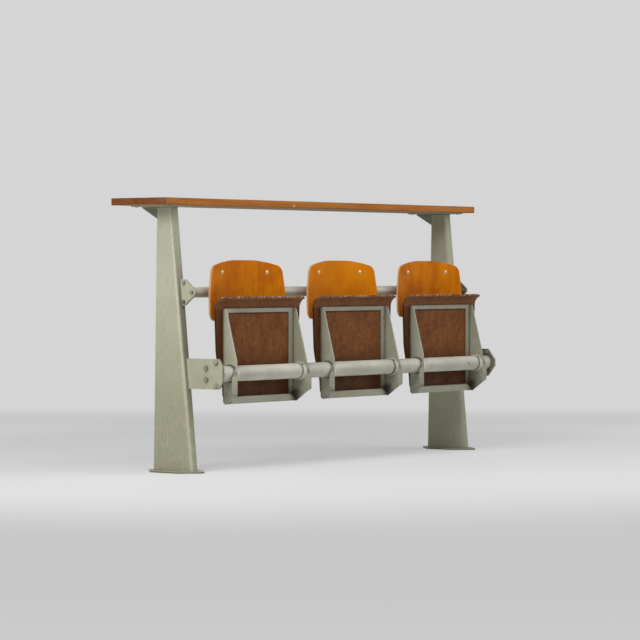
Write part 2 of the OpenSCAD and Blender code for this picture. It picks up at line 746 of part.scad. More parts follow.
module back_bolts() {
    head_r = back_head_d / 2;
    ball_r = (head_r * head_r + back_head_h * back_head_h) / (2 * back_head_h);
    nut_h = 0.8 * back_bolt_d;
    color(steel) for (i = [0:places - 1]) at_back(i) at_straps()
        for (z = [-back_bolt_low, back_bolt_high]) translate([0, 0, z]) {
            screw_y(-back_t - 2 * screw_gap, back_bolt_d / 2, back_t + strap_t + nut_h + bolt_tail);
            translate([0, -back_t - screw_gap, 0]) rotate([90, 0, 0]) intersection() {
                translate([0, 0, back_head_h - ball_r]) sphere(r = ball_r);
                cylinder(r = head_r, h = back_head_h + over);
            }
            translate([0, strap_t + 2 * screw_gap, 0]) rotate([-90, 0, 0])
                cylinder(r = 1.6 * back_bolt_d / sqrt(3), h = nut_h, $fn = 6);
        }
}

module backrest_left() { backrest(0); }
module backrest_middle() { backrest(1); }
module backrest_right() { backrest(2); }
module back_straps_left() { back_straps(0); }
module back_straps_middle() { back_straps(1); }
module back_straps_right() { back_straps(2); }
module seat_shell_left() { seat_shell(0); }
module seat_shell_middle() { seat_shell(1); }
module seat_shell_right() { seat_shell(2); }
module seat_frame_left() { seat_frame(0); }
module seat_frame_middle() { seat_frame(1); }
module seat_frame_right() { seat_frame(2); }
module seat_rings_left() { seat_rings(0); }
module seat_rings_middle() { seat_rings(1); }
module seat_rings_right() { seat_rings(2); }
module seat_bushes_left() { seat_bushes(0); }
module seat_bushes_middle() { seat_bushes(1); }
module seat_bushes_right() { seat_bushes(2); }
module seat_screws_left() { seat_screws(0); }
module seat_screws_middle() { seat_screws(1); }
module seat_screws_right() { seat_screws(2); }

desk_board();
desk_edging();
left_leg();
right_leg();
left_top_plate();
right_top_plate();
left_gusset();
right_gusset();
left_foot_plate();
right_foot_plate();
left_rail_bracket();
right_rail_bracket();
left_seat_bracket();
right_seat_bracket();
back_rail();
rail_end_plates();
seat_tube();
tube_flanges();
rail_bolts();
flange_bolts();
desk_screws();
stop_pins();
backrest_left();
backrest_middle();
backrest_right();
back_straps_left();
back_straps_middle();
back_straps_right();
back_bolts();
seat_shell_left();
seat_shell_middle();
seat_shell_right();
seat_frame_left();
seat_frame_middle();
seat_frame_right();
seat_rings_left();
seat_rings_middle();
seat_rings_right();
seat_bushes_left();
seat_bushes_middle();
seat_bushes_right();
seat_screws_left();
seat_screws_middle();
seat_screws_right();
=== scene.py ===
# %% [markdown]
# # Dressing a lecture hall bench
# The metal, the plywood and the three hinges of this bench already exist as exact
# solids. This lesson loads them as a fixed frame and gives each piece the surface of
# a bench that students have used for decades: grey-green enamel on folded sheet, amber
# and brown moulded plywood, and a wooden writing board with rubbed edges. Nothing here
# changes a size. A finish only decides how light meets what is already there.

# %% Load the frame
import json
import math
from types import SimpleNamespace
import bmesh
import bpy
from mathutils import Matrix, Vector


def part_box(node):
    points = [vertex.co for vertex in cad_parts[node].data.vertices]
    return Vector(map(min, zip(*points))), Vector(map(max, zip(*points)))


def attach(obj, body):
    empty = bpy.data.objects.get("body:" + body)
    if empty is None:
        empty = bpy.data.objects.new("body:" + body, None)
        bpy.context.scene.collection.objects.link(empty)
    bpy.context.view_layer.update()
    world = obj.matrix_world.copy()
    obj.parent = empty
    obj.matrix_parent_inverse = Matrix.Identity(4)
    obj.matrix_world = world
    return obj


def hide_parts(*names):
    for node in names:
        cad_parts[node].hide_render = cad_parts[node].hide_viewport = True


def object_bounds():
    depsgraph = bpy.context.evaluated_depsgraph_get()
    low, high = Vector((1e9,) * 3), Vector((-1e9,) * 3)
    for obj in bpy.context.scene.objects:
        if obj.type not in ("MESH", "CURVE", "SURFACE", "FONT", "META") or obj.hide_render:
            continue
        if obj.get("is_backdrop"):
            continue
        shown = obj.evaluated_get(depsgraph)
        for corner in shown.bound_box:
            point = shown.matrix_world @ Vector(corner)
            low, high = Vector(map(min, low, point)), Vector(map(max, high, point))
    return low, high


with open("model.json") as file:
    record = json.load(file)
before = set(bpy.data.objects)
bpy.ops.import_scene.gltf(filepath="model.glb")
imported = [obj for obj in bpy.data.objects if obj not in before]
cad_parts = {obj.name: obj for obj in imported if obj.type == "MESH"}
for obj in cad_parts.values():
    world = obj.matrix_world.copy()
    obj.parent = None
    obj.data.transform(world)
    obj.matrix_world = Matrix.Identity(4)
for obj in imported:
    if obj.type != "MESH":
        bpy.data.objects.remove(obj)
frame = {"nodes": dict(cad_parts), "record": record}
solid_box = [list(corner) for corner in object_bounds()]
body_of_node = {
    node: body
    for body, nodes in frame["record"]["behaviour"]["bodies"].items()
    for node in nodes
}

# %% [markdown]
# ## The camera
# The bench was photographed with a long lens, from low down and far to its left. A long
# lens flattens depth, so the three seats look almost the same size. The place, the turn
# and the lens below come from matching corners of the real bench with the same corners
# of the solids, so the two pictures can be laid over each other.

# %% Camera
picture_width = 640
lens_in_pixels = 2850.0
sensor_width = 36.0
turn_from_bench = 37.5987
tilt_down = 0.993
camera_data = bpy.data.cameras.new("studio_camera")
camera_data.sensor_width = sensor_width
camera_data.lens = lens_in_pixels / picture_width * sensor_width
camera_data.clip_end = 100.0
camera = bpy.data.objects.new("studio_camera", camera_data)
camera.location = (-8.78308, -6.75049, 0.73549)
camera.rotation_euler = (math.radians(90.0 - tilt_down), 0.0, math.radians(turn_from_bench - 90.0))
bpy.context.scene.collection.objects.link(camera)
bpy.context.scene.camera = camera
print("lens", round(camera_data.lens, 1), "mm")

# %% [markdown]
# ## Shader maths as Python
# A material in Blender is a graph of small nodes, and a long formula soon becomes a
# knot of wires. The class below wraps one output socket. Adding or multiplying two of
# these wrapped sockets adds the matching Math node, so a formula can be read as a
# formula. It also works the other way round, as in 1 - mask. Two shapes of mask come
# back all the time: a soft ramp, and a soft line along a certain place.

# %% A socket that can be calculated with
class Signal:
    """An output socket of a graph. Python's operators add Math nodes to it."""

    def __init__(self, graph, socket):
        self.graph = graph
        self.socket = socket

    def math(self, operation, *others):
        return self.graph.math(operation, self, *others)

    def __add__(self, other):
        return self.math("ADD", other)

    def __sub__(self, other):
        return self.math("SUBTRACT", other)

    def __mul__(self, other):
        return self.math("MULTIPLY", other)

    def __truediv__(self, other):
        return self.math("DIVIDE", other)

    def __radd__(self, other):
        return self.graph.math("ADD", other, self)

    def __rsub__(self, other):
        return self.graph.math("SUBTRACT", other, self)

    def __rmul__(self, other):
        return self.graph.math("MULTIPLY", other, self)

    def __rtruediv__(self, other):
        return self.graph.math("DIVIDE", other, self)

    def __pow__(self, other):
        return self.math("POWER", other)

    def rise(self, low, high):
        """0 below low, 1 above high and a soft ramp between. Low may be the larger."""
        sockets = {"Value": self, "From Min": low, "From Max": high}
        return self.graph.node("ShaderNodeMapRange", {"interpolation_type": "SMOOTHSTEP"}, sockets)

    def near(self, place, reach, core):
        """1 as near as core to a place and 0 further off than reach."""
        return (self - place).math("ABSOLUTE").rise(reach, core)


def most(first, *others):
    """The largest of several signals."""
    for other in others:
        first = first.math("MAXIMUM", other)
    return first


def distance(first, *others):
    """How far off a point is, from its steps along each axis."""
    squares = first ** 2.0
    for other in others:
        squares = squares + other ** 2.0
    return squares ** 0.5


print("signals ready")

# %% [markdown]
# ## A graph of nodes
# Everything that isn't plain maths goes through one method that makes a node, sets its
# choices and then feeds its sockets with numbers or with other signals. Every tree of
# nodes in Blender works alike, so the same class builds the finishes, the weld beads
# and the sky.

# %% A graph
class Graph:
    """A tree of nodes under construction."""

    def __init__(self, tree):
        self.tree = tree

    def node(self, kind, settings=None, sockets=None, out=0):
        made = self.tree.nodes.new(kind)
        for key, value in (settings or {}).items():
            setattr(made, key, value)
        for key, value in (sockets or {}).items():
            self.feed(made.inputs[key], value)
        return Signal(self, made.outputs[out])

    def feed(self, socket, value):
        if isinstance(value, Signal):
            self.tree.links.new(value.socket, socket)
        else:
            socket.default_value = value

    def math(self, operation, *values):
        return self.node("ShaderNodeMath", {"operation": operation}, dict(enumerate(values)))

    def seen(self):
        """1 for what a camera, a mirror or glass looks at, 0 for light on its way."""
        outputs = self.node("ShaderNodeLightPath").socket.node.outputs
        rays = ("Is Camera Ray", "Is Glossy Ray", "Is Transmission Ray")
        return most(*(Signal(self, outputs[ray]) for ray in rays))


print("graph ready")

# %% [markdown]
# ## A finish as a stack of layers
# Wear lies on a real surface in layers: stains in the paint, scratches through both and
# fresh dirt on top. All of it could be one formula, but a stack is easier to read and
# to change. So a finish keeps its colour as it stands so far, and each call of cover
# lays one more colour over it, only as thick as a mask says.

# %% A finish
class Finish(Graph):
    """A material under construction, with its colour as it stands so far."""

    def __init__(self, name):
        self.material = bpy.data.materials.new(name)
        self.material.use_nodes = True
        super().__init__(self.material.node_tree)
        self.shader = self.tree.nodes["Principled BSDF"]
        self.place = self.node("ShaderNodeTexCoord", out="Object")
        self.colour = None

    def axes(self):
        """The three coordinates of a point on the piece, in metres."""
        return [self.node("ShaderNodeSeparateXYZ", None, {0: self.place}, out) for out in range(3)]

    def stretch(self, scale, turn=(0, 0, 0)):
        """The piece's coordinates scaled, so that a noise is drawn out along an axis."""
        sockets = {"Vector": self.place, "Rotation": turn, "Scale": scale}
        return self.node("ShaderNodeMapping", None, sockets)

    def noise(self, place, scale, detail=3.0, rough=0.5, twist=0.0):
        sockets = {"Vector": place, "Scale": scale, "Detail": detail, "Roughness": rough}
        sockets["Distortion"] = twist
        return self.node("ShaderNodeTexNoise", None, sockets)

    def mix(self, share, first, second):
        return self.node("ShaderNodeMix", {"data_type": "RGBA"}, {0: share, 6: first, 7: second}, 2)

    def cover(self, share, colour):
        """Lays one more colour over the colour so far."""
        self.colour = self.mix(share, self.colour, colour)

    def edge(self):
        """1 on the narrow faces of the rounded edges, 0 elsewhere."""
        return self.node("ShaderNodeAttribute", {"attribute_name": "edge"}, None, "Fac")

    def bump(self, height, depth, strength):
        """Tilts the light as dents of this depth would."""
        sockets = {"Height": height, "Distance": depth, "Strength": strength}
        self.set(Normal=self.node("ShaderNodeBump", None, sockets))

    def set(self, **sockets):
        for name, value in sockets.items():
            self.feed(self.shader.inputs[name.replace("_", " ")], value)


def paint_code(red, green, blue):
    """A colour as a photograph stores it, turned into the amount of light Blender wants."""
    channels = [value / 255.0 for value in (red, green, blue)]
    light = [value / 12.92 if value <= 0.04045 else ((value + 0.055) / 1.055) ** 2.4
             for value in channels]
    return (*light, 1.0)


def palette(**codes):
    """The named colours of one finish."""
    return SimpleNamespace(**{name: paint_code(*code) for name, code in codes.items()})


print("finishes ready")

# %% [markdown]
# ## Where shade is painted
# Where pieces meet, shade falls: in the crease behind a side plate, round the hole for
# the tube and along the rim of a seat. The masks below paint that shade into the colour,
# and on the tubes some soiling too. It could be painted on by hand, but the solids say
# exactly where they meet, so each mask is a short formula in metres that starts from a
# solid. The three places are equal, so one formula, folded back to the middle of a place,
# serves them all. The legs taper, so their front and rear at any height are found between
# the foot and the top.

# %% Where the pieces are
seat_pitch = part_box("seat_shell_middle")[0].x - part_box("seat_shell_left")[0].x
tube_low, tube_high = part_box("seat_tube")
tube_y = (tube_low.y + tube_high.y) / 2
tube_z = (tube_low.z + tube_high.z) / 2
tube_r = (tube_high.z - tube_low.z) / 2
rail_low, rail_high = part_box("back_rail")

# The solids were made with these sizes, but no box around them shows them.
sheet = 0.0025
ring_length = 0.013
plate_top_depth = 0.015
fold_reach = 0.0335
fold_height = 0.042
plate_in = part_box("seat_rings_middle")[1].x
frame_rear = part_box("seat_frame_middle")[1].y
frame_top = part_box("seat_frame_middle")[1].z
strip_y = frame_rear - sheet

# A side plate's front edge runs straight from its top down to where its fold begins.
edge_top_y = frame_rear - plate_top_depth
edge_slope = (tube_y - fold_reach - edge_top_y) / (frame_top - tube_z - fold_height)
print("places repeat every", round(seat_pitch, 4), "m, side plates at", round(plate_in, 4))


def from_middle(x):
    """Each place has its own x, folded back to the distance from that place's middle."""
    return (x - (x / seat_pitch + 0.5).math("FLOOR") * seat_pitch).math("ABSOLUTE")


def leg_outline(side):
    """Front and rear of a leg at its foot and at its top, as (z, front, rear)."""
    same_level = 1e-4
    points = [vertex.co for vertex in frame["nodes"][f"{side}_leg"].data.vertices]
    levels = (min(point.z for point in points), max(point.z for point in points))
    rows = []
    for level in levels:
        depths = [point.y for point in points if abs(point.z - level) < same_level]
        rows.append((level, min(depths), max(depths)))
    return rows


def at_height(rows, z, column):
    """A leg's front (column 0) or rear (column 1) at a height."""
    (low, *first), (high, *last) = rows
    share = (z - low) / (high - low)
    return first[column] + (last[column] - first[column]) * share


# %% [markdown]
# ## Grey-green enamel
# All the sheet metal was sprayed with one grey-green enamel. Sprayed enamel is never
# quite even: it has a faint orange-peel skin, cloudy patches where it has yellowed, dark
# specks, and hairline scratches from shoes and bags. On the rounded edges it has
# rubbed through to dull steel. Each of those is a noise texture at its own real size,
# because the texture reads the piece's own coordinates in metres. The tubes are paler
# and more rubbed, and the same recipe takes other values. The gussets, and partly the
# bolts, take darker copies of the enamel as painted shade.

# %% Wear, painted shade and painted light on the legs
# Beside real wear, these colours paint light: the paler left end, highlights on the legs' bend and
# the side plates' fold, and shade in corners, creases and on the legs' fronts.
enamel_wear_and_light = palette(
    soot=(92, 88, 72), grime=(52, 41, 29), floor_dirt=(58, 54, 44), steel=(84, 76, 62),
    kept=(206, 205, 180), kicked=(136, 131, 104), bend=(224, 222, 202), fold=(198, 197, 180),
    clean=(222, 221, 205), scratch=(208, 207, 190))


def leg_painted_light(coat, y, z, left_end):
    """Darkens the legs towards the floor, and paints shade on the left leg's front face and a
    highlight on the bend beside it.
    """
    coat.cover(z.rise(0.50, 0.0) * 0.34, enamel_wear_and_light.kicked)
    (foot_z, foot_y, _), (top_z, top_y, _) = leg_outline("left")
    slope = (top_y - foot_y) / (top_z - foot_z)
    from_front = (y - (z - foot_z) * slope - foot_y).math("ABSOLUTE")
    # Painted shade: the left leg's front face is darkened, most of all at half its height.
    face = from_front.rise(0.004, 0.001)
    half_way = z.near(0.55, 0.50, 0.10)
    coat.cover(face * left_end * half_way * 0.42 + face * left_end * 0.16, enamel_wear_and_light.soot)
    # Painted highlight on the rounded bend beside the left leg's front face.
    bend = from_front.rise(0.012, 0.007) * (1 - face) * left_end
    coat.cover(bend * 0.35, enamel_wear_and_light.bend)


print("colours of wear:", ", ".join(vars(enamel_wear_and_light)))

# %% [markdown]
# ## Painted shade and highlight on the seat frames and tubes
# The seat frames are full of inner corners, and the shade in them is painted into the
# colour, while a painted highlight runs along the side plates' front edges. A painted
# shade line circles the seat tube where it enters the plates and rings, and a small grub
# screw sits in a dark hole in its front. Each of these is a line or a spot at a known
# distance from a solid.

# %% Painted shade and highlight on the seat frames
def frame_painted_light(coat, x, y, z):
    """Painted shade in the seat frames' corners and creases, and a painted highlight along the side
    plates' front edges.
    """
    across = from_middle(x)
    patch = coat.noise(coat.place, 38.0, 4.0, 0.7)
    at_plate = across.rise(plate_in - 0.006, plate_in - 0.001)
    front_edge = (frame_top - z) * edge_slope + edge_top_y
    # Painted highlight: a pale line along each side plate's front edge, above the tube.
    pale = y.near(front_edge, 0.0045, 0.0020) * z.rise(tube_z + 0.02, tube_z + 0.05) * at_plate
    coat.cover(pale * 0.55, enamel_wear_and_light.fold)
    # Painted shade: the crease between plate and strip, the inner corner low inside each side
    # plate, the plates below the tube and a ring round the hole for the tube.
    crease = at_plate.math("MINIMUM", y.rise(strip_y - 0.007, strip_y))
    corner = across.rise(plate_in - 0.045, plate_in - 0.004) * y.rise(tube_y - 0.03, tube_y + 0.02)
    corner = corner * z.rise(tube_z - 0.050, tube_z - 0.082) * patch.rise(0.22, 0.40)
    corner = corner * across.rise(plate_in + 0.0014, plate_in + 0.0006)
    low = at_plate * z.rise(tube_z + 0.01, tube_z - 0.10) * patch.rise(0.25, 0.65)
    from_axle = distance(y - tube_y, z - tube_z)
    hole = from_axle.rise(tube_r + 0.0075, tube_r + 0.0030) * at_plate
    coat.cover(most(crease * 0.55, corner * 0.9, low * 0.36, hole * 0.75), enamel_wear_and_light.grime)


print("crease between plate and strip at y", round(strip_y, 4))

# %% Painted shade and soiling on the tubes
grub_inset = 0.075
grub_x = seat_pitch + plate_in - ring_length - grub_inset


def tube_shade_and_dirt(coat, x, y, z):
    """Painted shade where the seat tube enters plates and rings and under the back rail, a darker
    band and soiling along the tube, and a grub screw's hole.
    """
    across = from_middle(x)
    # Painted shade: dark lines where the tube enters a plate and a ring. Between the plates the
    # tube is darkened, partly as painted shade and partly as soiling.
    outside = across.near(plate_in + sheet + 0.003, 0.0052, 0.0022)
    inside = across.near(plate_in - ring_length - 0.0025, 0.0042, 0.0014)
    between = across.rise(plate_in - 0.002, plate_in + 0.004)
    from_grub = distance(x - grub_x, y - (tube_y - tube_r), z - tube_z)
    dirt = most(most(outside, inside) * 0.85, between * 0.13, from_grub.rise(0.0050, 0.0034))
    # The seat tube is darker along its middle height, and stays bright on top and below. The
    # back rail is darkened only below, as painted shade.
    middle_band = z.near(tube_z, 0.022, 0.006)
    on_seat_tube = z.rise(0.50, 0.45)
    below_rail = z.rise(rail_high.z - 0.014, rail_low.z + 0.008) * (1 - on_seat_tube)
    dirt = most(most(dirt, middle_band * 0.17) * on_seat_tube, below_rail * 0.28)
    coat.cover(dirt, enamel_wear_and_light.grime)


print("grub screw at x", round(grub_x, 4))

# %% [markdown]
# ## One recipe for all enamels
# Every enamelled piece wears the same layers in the same order, so one function makes
# them all. Only the two colours of the paint and the amount of each kind of wear differ,
# and the painted shade, highlights and soiling of the last two cells are handed in where
# they belong.

# %% Enamel
def enamel(name, clean, aged, specks=0.72, scratches=0.70, rubbed=0.50, kicked=0.0, rough=0.42,
           kept=0.0, shade_and_soil=None):
    """Sprayed enamel. Lower limits for specks, scratches and rubbed edges give more of them,
    and kicked is 1 on pieces that stand near the floor."""
    coat = Finish(name)
    x, y, z = coat.axes()
    cloud = coat.noise(coat.place, 6.0, 4.0, 0.55)
    coat.colour = coat.mix(cloud.rise(0.35, 0.68), paint_code(*clean), paint_code(*aged))
    # Painted light: the bench's left end is made paler, and on the legs this fades towards the
    # floor.
    left_end = x.rise(-0.68, -0.78)
    left_light_share = left_end * kept
    if kicked:
        left_light_share = left_light_share * (z.rise(0.10, 0.90) * 0.9 + 0.1)
    coat.cover(left_light_share, enamel_wear_and_light.kept)
    if kicked:
        leg_painted_light(coat, y, z, left_end)
    mottle = coat.noise(coat.place, 45.0, 3.0, 0.6)
    coat.cover(mottle.rise(0.50, 0.78) * 0.18, enamel_wear_and_light.soot)
    freckle = coat.noise(coat.place, 190.0, 3.0, 0.7)
    coat.cover(freckle.rise(0.56, 0.72) * 0.16, enamel_wear_and_light.soot)
    coat.cover(freckle.rise(0.44, 0.32) * 0.14, enamel_wear_and_light.clean)
    # Shoes leave more scratches and specks near the floor.
    low = z.rise(0.42, 0.02) * kicked
    hair = coat.noise(coat.stretch((700.0, 700.0, 26.0), (0.5, 0.35, 0.4)), 1.0, 1.0)
    graze = coat.noise(coat.stretch((620.0, 620.0, 40.0), (1.1, -0.5, 0.2)), 1.0, 1.0)
    where = coat.noise(coat.place, 12.0, 2.0).rise(0.42, 0.60)
    scratch = (most(hair, graze) + low * 0.05).rise(scratches, scratches + 0.04) * where
    coat.cover(scratch * 0.55, enamel_wear_and_light.scratch)
    dots = coat.noise(coat.place, 380.0, 2.0, 0.5)
    speck = (dots + low * 0.06).rise(specks, specks + 0.03)
    coat.cover(speck * 0.6, enamel_wear_and_light.soot)
    chip = coat.noise(coat.place, 95.0, 4.0, 0.65)
    bare = coat.edge() * chip.rise(rubbed, rubbed + 0.06)
    coat.cover(bare, enamel_wear_and_light.steel)
    if shade_and_soil:
        shade_and_soil(coat, x, y, z)
    # Painted shade on the foot plates' edges.
    if kicked:
        coat.cover(z.rise(0.0059, 0.0045) * 0.6, enamel_wear_and_light.floor_dirt)
    coat.set(Base_Color=coat.colour, Metallic=bare * 0.35, Specular_IOR_Level=0.42)
    coat.set(Roughness=rough + cloud * 0.10 + scratch * 0.12 + bare * 0.10)
    skin = coat.noise(coat.place, 520.0, 2.0, 0.5)
    coat.bump(skin * 0.25 - bare - scratch * 0.4 - speck * 0.5, 0.00025, 0.6)
    return coat.material


pale_green = ((214, 213, 200), (192, 190, 172))
finishes = {
    "leg": enamel("leg_enamel", (178, 177, 153), (166, 164, 136),
                  specks=0.70, scratches=0.66, kicked=1.0, kept=0.45),
    "frame": enamel("frame_enamel", (164, 163, 144), (151, 149, 128),
                    rubbed=0.46, kept=0.40, shade_and_soil=frame_painted_light),
    "tube": enamel("tube_enamel", *pale_green,
                   specks=0.70, scratches=0.66, rough=0.36, shade_and_soil=tube_shade_and_dirt),
    "ring": enamel("ring_enamel", *pale_green, rubbed=0.46, rough=0.36),
    "flange": enamel("flange_enamel", (122, 118, 98), (88, 83, 67), specks=0.64, rubbed=0.34),
    # The gussets take a darker copy of the leg enamel as painted shade.
    "gusset": enamel("gusset_shaded_enamel", (146, 148, 129), (128, 129, 109),
                     specks=0.70, scratches=0.66),
    # The bolts' darker second colour is partly painted shade, for the dark core of each head.
    "bolt": enamel("bolt_enamel_and_shade", (164, 161, 138), (98, 94, 78), rubbed=0.40),
}
print("enamels:", ", ".join(finishes))

# %% [markdown]
# ## Moulded plywood
# The backrests and seats are beech veneers, glued crosswise and pressed in a curved
# mould. The face veneer was peeled from a turning log, which leaves the wide flame of a
# rotary cut: contour lines of a slow noise, drawn out along the grain. The cut edge
# shows the veneers as thin stripes. The stripe pattern runs through the thickness of
# the board, so the shader measures how deep a point lies between the two faces, along
# the curve of the mould.

# %% Veneer helpers
def flame(coat, along, rings, scale):
    """Contour lines of a slow noise, drawn out along the grain."""
    field = coat.noise(coat.stretch(along), scale, 2.0, 0.45, 0.6)
    return (field * rings).math("SINE") * 0.5 + 0.5


def stripes(depth, count):
    """Alternating veneers through the thickness, from 0 on one face to 1 on the other."""
    return (depth * (count * math.pi)).math("SINE").math("ABSOLUTE")


def inner(depth):
    """1 inside the cut edge and 0 on the two faces."""
    return depth.rise(0.05, 0.10) * (1 - depth).rise(0.05, 0.10)


print("veneer helpers ready")

# %% [markdown]
# ## Amber backrests
# The backrests were varnished, and the varnish has turned a deep amber. A picture of
# veneer could be wrapped round each shell, but it would smear where it turns over the
# cut edge. A noise has a value at every point in space, so face and edge agree. The
# shells are bent to a wide curve in plan, so depth is counted from the middle of that
# curve. The places of the two upper bolts are read from the heads of the solid bolts.

# %% Amber backrests
amber = palette(
    ground=(214, 120, 4), flame=(232, 146, 9), cloud=(188, 90, 3), light_log=(244, 148, 2),
    fibre=(161, 76, 5), fleck=(133, 58, 7), glue=(152, 98, 50), veneer=(226, 182, 126),
    rubbed=(226, 192, 142), polished=(236, 184, 104))
back_curve_r = 1.000
back_thick = 0.008
back_centre_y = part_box("backrest_middle")[1].y - back_curve_r - back_thick


def upper_bolts():
    """How far the upper bolt heads stand from a place's middle, and how high."""
    # The heads are the foremost 2 mm of the bolts, and the upper ones their top 20 mm.
    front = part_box("back_bolts")[0].y
    points = [vertex.co for vertex in frame["nodes"]["back_bolts"].data.vertices]
    heads = [point for point in points
             if point.y < front + 0.002 and abs(point.x) < seat_pitch / 2]
    top = max(point.z for point in heads)
    upper = [point for point in heads if point.z > top - 0.02]
    across = sum(abs(point.x) for point in upper) / len(upper)
    return across, sum(point.z for point in upper) / len(upper)


bolt_across, bolt_z = upper_bolts()


def amber_ply():
    """The backrests' varnished veneer, with pale cut edges."""
    coat = Finish("amber_ply")
    x, y, z = coat.axes()
    across = from_middle(x)
    flames = flame(coat, (5.0, 5.0, 0.9), 34.0, 2.6)
    coat.colour = coat.mix(flames * 0.55, amber.ground, amber.flame)
    cloud = coat.noise(coat.place, 9.0, 3.0)
    coat.cover(cloud.rise(0.42, 0.66) * 0.65, amber.cloud)
    # The middle backrest is made lighter.
    coat.cover(x.math("ABSOLUTE").rise(0.30, 0.28) * 0.45, amber.light_log)
    fibre = coat.noise(coat.stretch((900.0, 900.0, 34.0)), 1.0, 3.0, 0.6)
    coat.cover(fibre.rise(0.50, 0.75) * 0.35, amber.fibre)
    fleck = coat.noise(coat.stretch((420.0, 420.0, 90.0)), 1.0, 1.0)
    coat.cover(fleck.rise(0.70, 0.78) * 0.35, amber.fleck)
    depth = (distance(across, y - back_centre_y) - back_curve_r) / back_thick
    cut = inner(depth)
    veneer = stripes(depth, 5.0)
    coat.cover(cut, coat.mix(veneer.rise(0.25, 0.6), amber.glue, amber.veneer))
    # The rubbed edges are pale partly from wear and partly as a painted highlight.
    rubbed = coat.edge() * coat.noise(coat.place, 70.0, 3.0).rise(0.40, 0.52)
    coat.cover(rubbed * 0.9, amber.rubbed)
    # The varnish round each bolt head has been polished away.
    from_bolt = distance(across - bolt_across, z - bolt_z)
    coat.cover(from_bolt.rise(0.0120, 0.0080) * 0.55, amber.polished)
    coat.set(Base_Color=coat.colour, Specular_IOR_Level=0.06)
    coat.set(Roughness=0.26 + cloud * 0.16 + cut * 0.3)
    coat.bump(fibre * 0.5 + flames * 0.3 + veneer * cut * 2.0, 0.00012, 0.5)
    return coat.material


finishes["amber"] = amber_ply()
print("backrest curve centred at y", round(back_centre_y, 4), "m, bolts", round(bolt_z, 4), "m up")

# %% [markdown]
# ## Brown seats
# A folded seat shows its underside, which was stained brown and never polished. Its
# lower half is darkened as painted shade, and painted shade lines follow the frame that
# carries it. The front edge is rolled, so depth is straight on the flat and is counted
# from the middle of the roll above it. That rolled edge is where every sitter's legs
# rub, so its stain has gone there in chips.

# %% Brown seats
brown = palette(
    ground=(124, 75, 40), flame=(142, 90, 50), cloud=(95, 57, 34), fibre=(72, 41, 24),
    pale_blotch=(146, 98, 58), dark_blotch=(58, 34, 21), scuff=(155, 116, 81),
    glue=(40, 24, 15), veneer=(86, 55, 34), dirt=(44, 26, 16), lip=(158, 112, 80),
    bare=(222, 192, 158))
shell_thick = 0.010
shell_face_y = frame_rear
lip_r = 0.033
lip_centre_y = shell_face_y - lip_r
lip_centre_z = frame_top + 0.001


def seat_rim_shade(across, z):
    """Painted shade: dark lines just inside the frame, and the frame's shadow outline on the seat
    around it.
    """
    side_line = across.near(plate_in - 0.0265, 0.0050, 0.0015)
    top_line = z.near(frame_top - 0.0180, 0.0050, 0.0015)
    top_line = top_line * across.rise(plate_in - 0.022, plate_in - 0.024)
    inside = most(side_line, top_line) * z.rise(frame_top - 0.013, frame_top - 0.016)
    above = z.near(frame_top + 0.0022, 0.0048, 0.0018)
    above = above * across.rise(plate_in + 0.006, plate_in + 0.002)
    beside = across.rise(plate_in + 0.001, plate_in + 0.004)
    beside = beside * z.rise(frame_top + 0.012, frame_top - 0.02)
    return most(inside * 0.6, above * 0.65, beside * 0.50)


def brown_ply():
    """The seats' stained veneer, with painted shade on its lower half and along the frame, and bare
    on the rolled edge.
    """
    coat = Finish("brown_ply")
    x, y, z = coat.axes()
    flames = flame(coat, (5.0, 5.0, 1.0), 26.0, 2.4)
    coat.colour = coat.mix(flames * 0.5, brown.ground, brown.flame)
    cloud = coat.noise(coat.place, 16.0, 4.0, 0.6)
    coat.cover(cloud.rise(0.42, 0.68) * 0.55, brown.cloud)
    fibre = coat.noise(coat.stretch((760.0, 760.0, 40.0)), 1.0, 3.0, 0.65)
    coat.cover(fibre.rise(0.44, 0.66) * 0.50, brown.fibre)
    blotch = coat.noise(coat.place, 70.0, 3.0, 0.6)
    coat.cover(blotch.rise(0.52, 0.70) * 0.45, brown.pale_blotch)
    coat.cover(blotch.rise(0.46, 0.32) * 0.35, brown.dark_blotch)
    scuff = coat.noise(coat.stretch((36.0, 36.0, 900.0), (0.2, 0.6, 0.3)), 1.0, 1.0)
    coat.cover(scuff.rise(0.70, 0.76) * 0.3, brown.scuff)
    flat_depth = (y - shell_face_y) / shell_thick
    roll_depth = (distance(y - lip_centre_y, z - lip_centre_z) - lip_r) / shell_thick
    on_lip = z.rise(lip_centre_z, lip_centre_z + 0.0004)
    depth = flat_depth + (roll_depth - flat_depth) * on_lip
    cut = inner(depth)
    veneer = stripes(depth, 6.0)
    coat.cover(cut, coat.mix(veneer.rise(0.2, 0.6), brown.glue, brown.veneer))
    # Painted shade: the lower half of the underside and the lines along the frame are darkened.
    dull = z.rise(tube_z + 0.11, tube_z - 0.05) * (cloud * 0.5 + 0.35)
    underside = depth.rise(0.9, 0.6)
    coat.cover(most(dull, seat_rim_shade(from_middle(x), z)) * underside, brown.dirt)
    coat.cover(on_lip * cloud.rise(0.25, 0.65) * 0.40, brown.lip)
    front_edge = z.rise(lip_centre_z + 0.0350, lip_centre_z + 0.0395)
    chips = coat.noise(coat.place, 85.0, 4.0, 0.7)
    bare = most(front_edge * chips.rise(0.48, 0.58), coat.edge() * chips.rise(0.56, 0.64) * 0.7)
    coat.cover(bare * 0.7, brown.bare)
    coat.set(Base_Color=coat.colour, Specular_IOR_Level=0.08)
    coat.set(Roughness=0.40 + cloud * 0.20 + bare * 0.2)
    coat.bump(fibre * 0.6 + veneer * cut * 2.0 - bare * 1.5, 0.00016, 0.6)
    return coat.material


finishes["brown"] = brown_ply()
print("rolled edge centred at z", round(lip_centre_z, 4))

